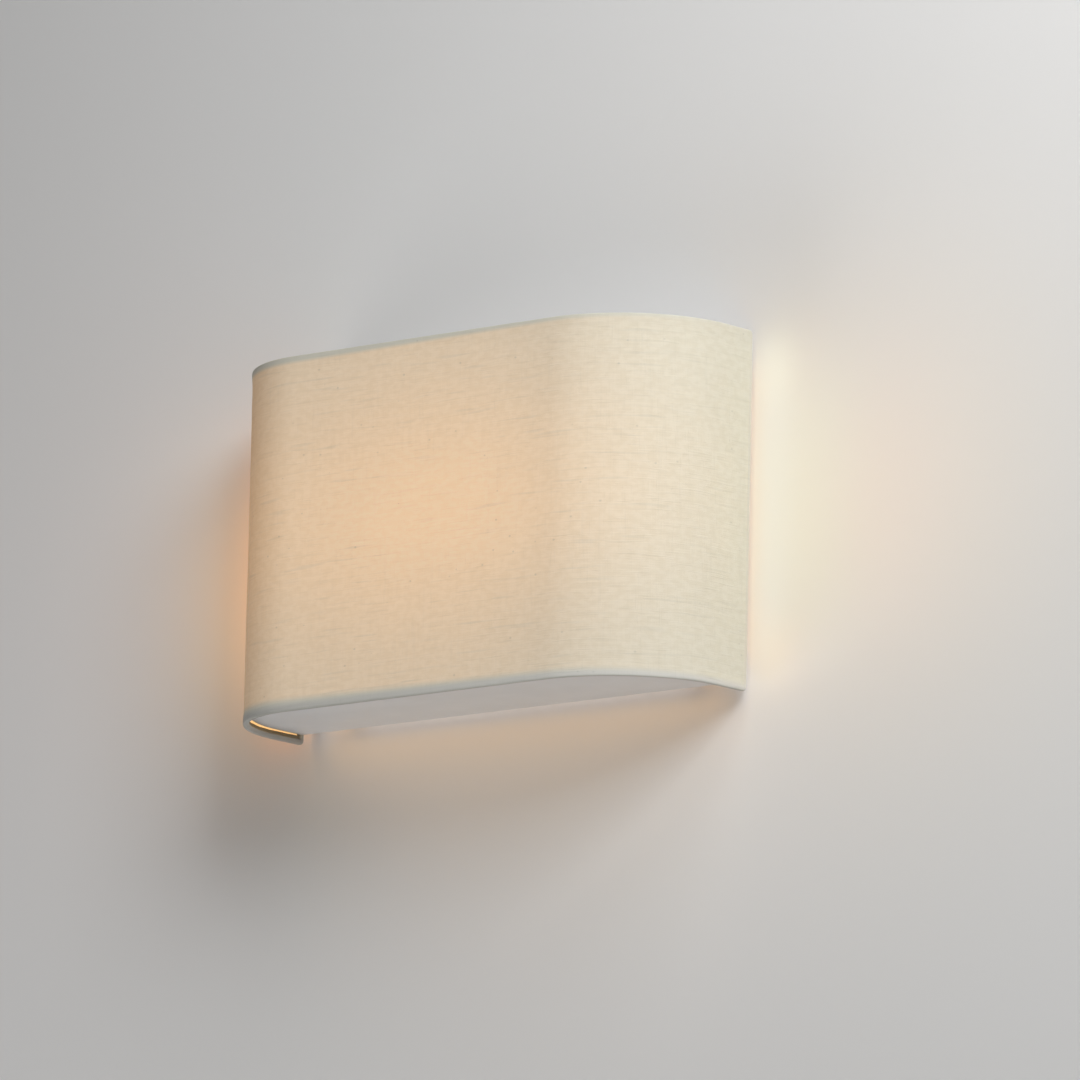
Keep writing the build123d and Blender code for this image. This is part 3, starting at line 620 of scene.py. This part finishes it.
def area(name, frm, at, size, power, colour=(1, 1, 1), spread=180.0, seen=False):
    light = bpy.data.lights.new(name, "AREA")
    light.shape, light.size, light.size_y = "RECTANGLE", size[0], size[1]
    light.energy, light.color, light.spread = power, colour, math.radians(spread)
    o = bpy.data.objects.new(name, light)
    bpy.context.scene.collection.objects.link(o)
    aim(o, at, frm)
    o.visible_camera = o.visible_glossy = seen
    SOFT[name] = o
    return o


world = bpy.data.worlds.new("soft_room")
bpy.context.scene.world = world
world.use_nodes = True
back = world.node_tree.nodes["Background"]
back.inputs["Color"].default_value = (0.96, 0.98, 1.0, 1)
back.inputs["Strength"].default_value = 0.008
seen_back = world.node_tree.nodes.new("ShaderNodeBackground")
seen_back.inputs["Color"].default_value = (0.72, 0.72, 0.71, 1)
eye_ray, both_backs = world.node_tree.nodes.new("ShaderNodeLightPath"), world.node_tree.nodes.new("ShaderNodeMixShader")
world.node_tree.links.new(eye_ray.outputs["Is Camera Ray"], both_backs.inputs[0])
world.node_tree.links.new(back.outputs[0], both_backs.inputs[1])
world.node_tree.links.new(seen_back.outputs[0], both_backs.inputs[2])
world.node_tree.links.new(both_backs.outputs[0], world.node_tree.nodes["World Output"].inputs["Surface"])

MIDDLE = (0.0, -0.05, 0.0)
area("key_upper_right", (1.90, -1.35, 0.97), MIDDLE, (0.9, 0.9), 33.60)
area("wide_right", (2.40, -1.80, -0.1), MIDDLE, (2.0, 2.0), 11.00)
area("wide_front", (0.2, -3.2, 0.8), MIDDLE, (2.6, 2.6), 2.06)
area("low_front", (0.5, -1.5, -1.8), MIDDLE, (1.6, 1.6), 3.22)
area("key_close", (0.80, -0.50, 0.60), MIDDLE, (0.4, 0.4), 0.92)
area("key_top", (0.55, -0.60, 0.85), MIDDLE, (0.5, 0.5), 2.98)
area("left_low", (-0.9, -1.0, -0.9), MIDDLE, (0.8, 0.8), 5.56)
area("low_fill", (-0.5, -0.9, -1.5), MIDDLE, (1.0, 1.0), 3.27)

WARM = (1.0, 0.56, 0.22)
area("lamp_board", (0, -0.0380, 0), (0, -1, 0), (0.088, 0.034), 0.0507, WARM)
bounce = bpy.data.lights.new("lamp_bounce", "POINT")
bounce.energy, bounce.color, bounce.shadow_soft_size = 0.02535, WARM, 0.012
bounce_obj = bpy.data.objects.new("lamp_bounce", bounce)
bounce_obj.location = (0, -0.062, 0)
bounce_obj.visible_camera = bounce_obj.visible_glossy = False
bpy.context.scene.collection.objects.link(bounce_obj)
SOFT["lamp_bounce"] = bounce_obj


def group(name, objects):
    c = bpy.data.collections.new(name)
    bpy.context.scene.collection.children.link(c)
    for o in objects:
        c.objects.link(o)
    return c


# the lamp's light on the wall: out of both ends and down behind the lower panel
on_wall = group("wall_only", [backdrop])
for name, frm, way, size, power, colour in (
    ("right_slot_edge", (0.170, -0.016, 0), (0, 1, 0), (0.014, 0.186), 0.0009, (0.0, 0.591, 1.0)),
    ("right_slot_side", (0.180, -0.032, 0), (0, 1, 0), (0.026, 0.190), 0.0038, (1.0, 0.053, 0.0)),
    ("right_slot_top", (0.171, -0.018, 0.080), (0, 1, 0), (0.016, 0.030), 0.0005, (0.979, 1.0, 0.345)),
    ("right_slot_foot", (0.171, -0.018, -0.080), (0, 1, 0), (0.016, 0.030), 0.0007, (1.0, 0.553, 0.0)),
    ("right_slot_near", (0.185, -0.050, 0), (0, 1, 0), (0.03, 0.14), 0.0071, (0.0, 1.0, 0.356)),
    ("right_slot_mid", (0.215, -0.090, 0), (0, 1, 0), (0.05, 0.12), 0.0119, (1.0, 0.0, 0.0)),
    ("right_slot_far", (0.250, -0.160, 0), (0, 1, 0), (0.08, 0.10), 0.0401, (1.0, 0.643, 0.0)),
    ("left_slot_edge", (-0.172, -0.022, 0), (0, 1, 0), (0.020, 0.170), 0.0233, (1.0, 0.263, 0.0)),
    ("left_slot_near", (-0.200, -0.070, -0.01), (0, 1, 0), (0.04, 0.12), 0.0222, (1.0, 0.753, 0.281)),
    ("left_slot_side", (-0.1602, -0.090, 0), (-1, 0, 0), (0.172, 0.064), 0.0247, (1.0, 0.0, 0.0)),
    ("left_slot_far", (-0.175, -0.200, 0), (-1, 0, 0), (0.200, 0.150), 0.0124, (1.0, 0.707, 0.0)),
    ("under_edge", (0, -0.0045, -0.0900), (0, 0, -1), (0.290, 0.006), 0.0026, (1.0, 0.42, 0.0)),
    ("under_slot", (0, -0.018, -0.0946), (0, 0, -1), (0.290, 0.018), 0.0190, (1.0, 0.500, 0.070)),
    ("under_shade", (0, -0.075, -0.0960), (0, 0, -1), (0.220, 0.036), 0.0366, (1.0, 0.700, 0.421)),
):
    area(name, frm, tuple(a + b for a, b in zip(frm, way)), size, power, colour)
    SOFT[name].light_linking.receiver_collection = on_wall

# light for the back, which the wall doesn't stop: it reaches the object only
own = group("object_only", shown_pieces())
SOFT["low_fill"].light_linking.receiver_collection = own
rear = bpy.data.lights.new("rear_fill", "SUN")
rear.energy, rear.angle = 1.2, math.radians(25)
rear_obj = bpy.data.objects.new("rear_fill", rear)
bpy.context.scene.collection.objects.link(rear_obj)
aim(rear_obj, (0, 0, 0), (0, 1.0, 0.12))
rear_obj.light_linking.receiver_collection = own
rear_obj.light_linking.blocker_collection = own

# ---------------------------------------------------------------- camera, fitted to the photograph
YAW, PITCH, ROLL = 0.702385, -0.186885, 0.021762
TARGET, DISTANCE, FOCAL = np.array([49.495, -50.85, -11.707]), 5904.4, 10929.2
out = np.array([math.sin(YAW) * math.cos(PITCH), -math.cos(YAW) * math.cos(PITCH), math.sin(PITCH)])
right = np.cross(-out, [0, 0, 1.0])
right /= np.linalg.norm(right)
up = np.cross(right, -out)
right_r = math.cos(ROLL) * right + math.sin(ROLL) * up
up_r = -math.sin(ROLL) * right + math.cos(ROLL) * up
eye = (TARGET + out * DISTANCE) * MM
cam = bpy.data.cameras.new("photo_view")
cam.sensor_fit, cam.sensor_width, cam.lens = "HORIZONTAL", 36.0, FOCAL * 36.0 / 1080.0
cam.clip_start, cam.clip_end = 0.5, 60.0
cam_obj = bpy.data.objects.new("photo_view", cam)
bpy.context.scene.collection.objects.link(cam_obj)
cam_obj.matrix_world = Matrix([
    [right_r[0], up_r[0], out[0], eye[0]],
    [right_r[1], up_r[1], out[1], eye[1]],
    [right_r[2], up_r[2], out[2], eye[2]],
    [0, 0, 0, 1],
])
bpy.context.scene.camera = cam_obj
bpy.context.scene.view_settings.view_transform = "Standard"
bpy.context.scene.view_settings.look = "None"

bpy.context.view_layer.update()
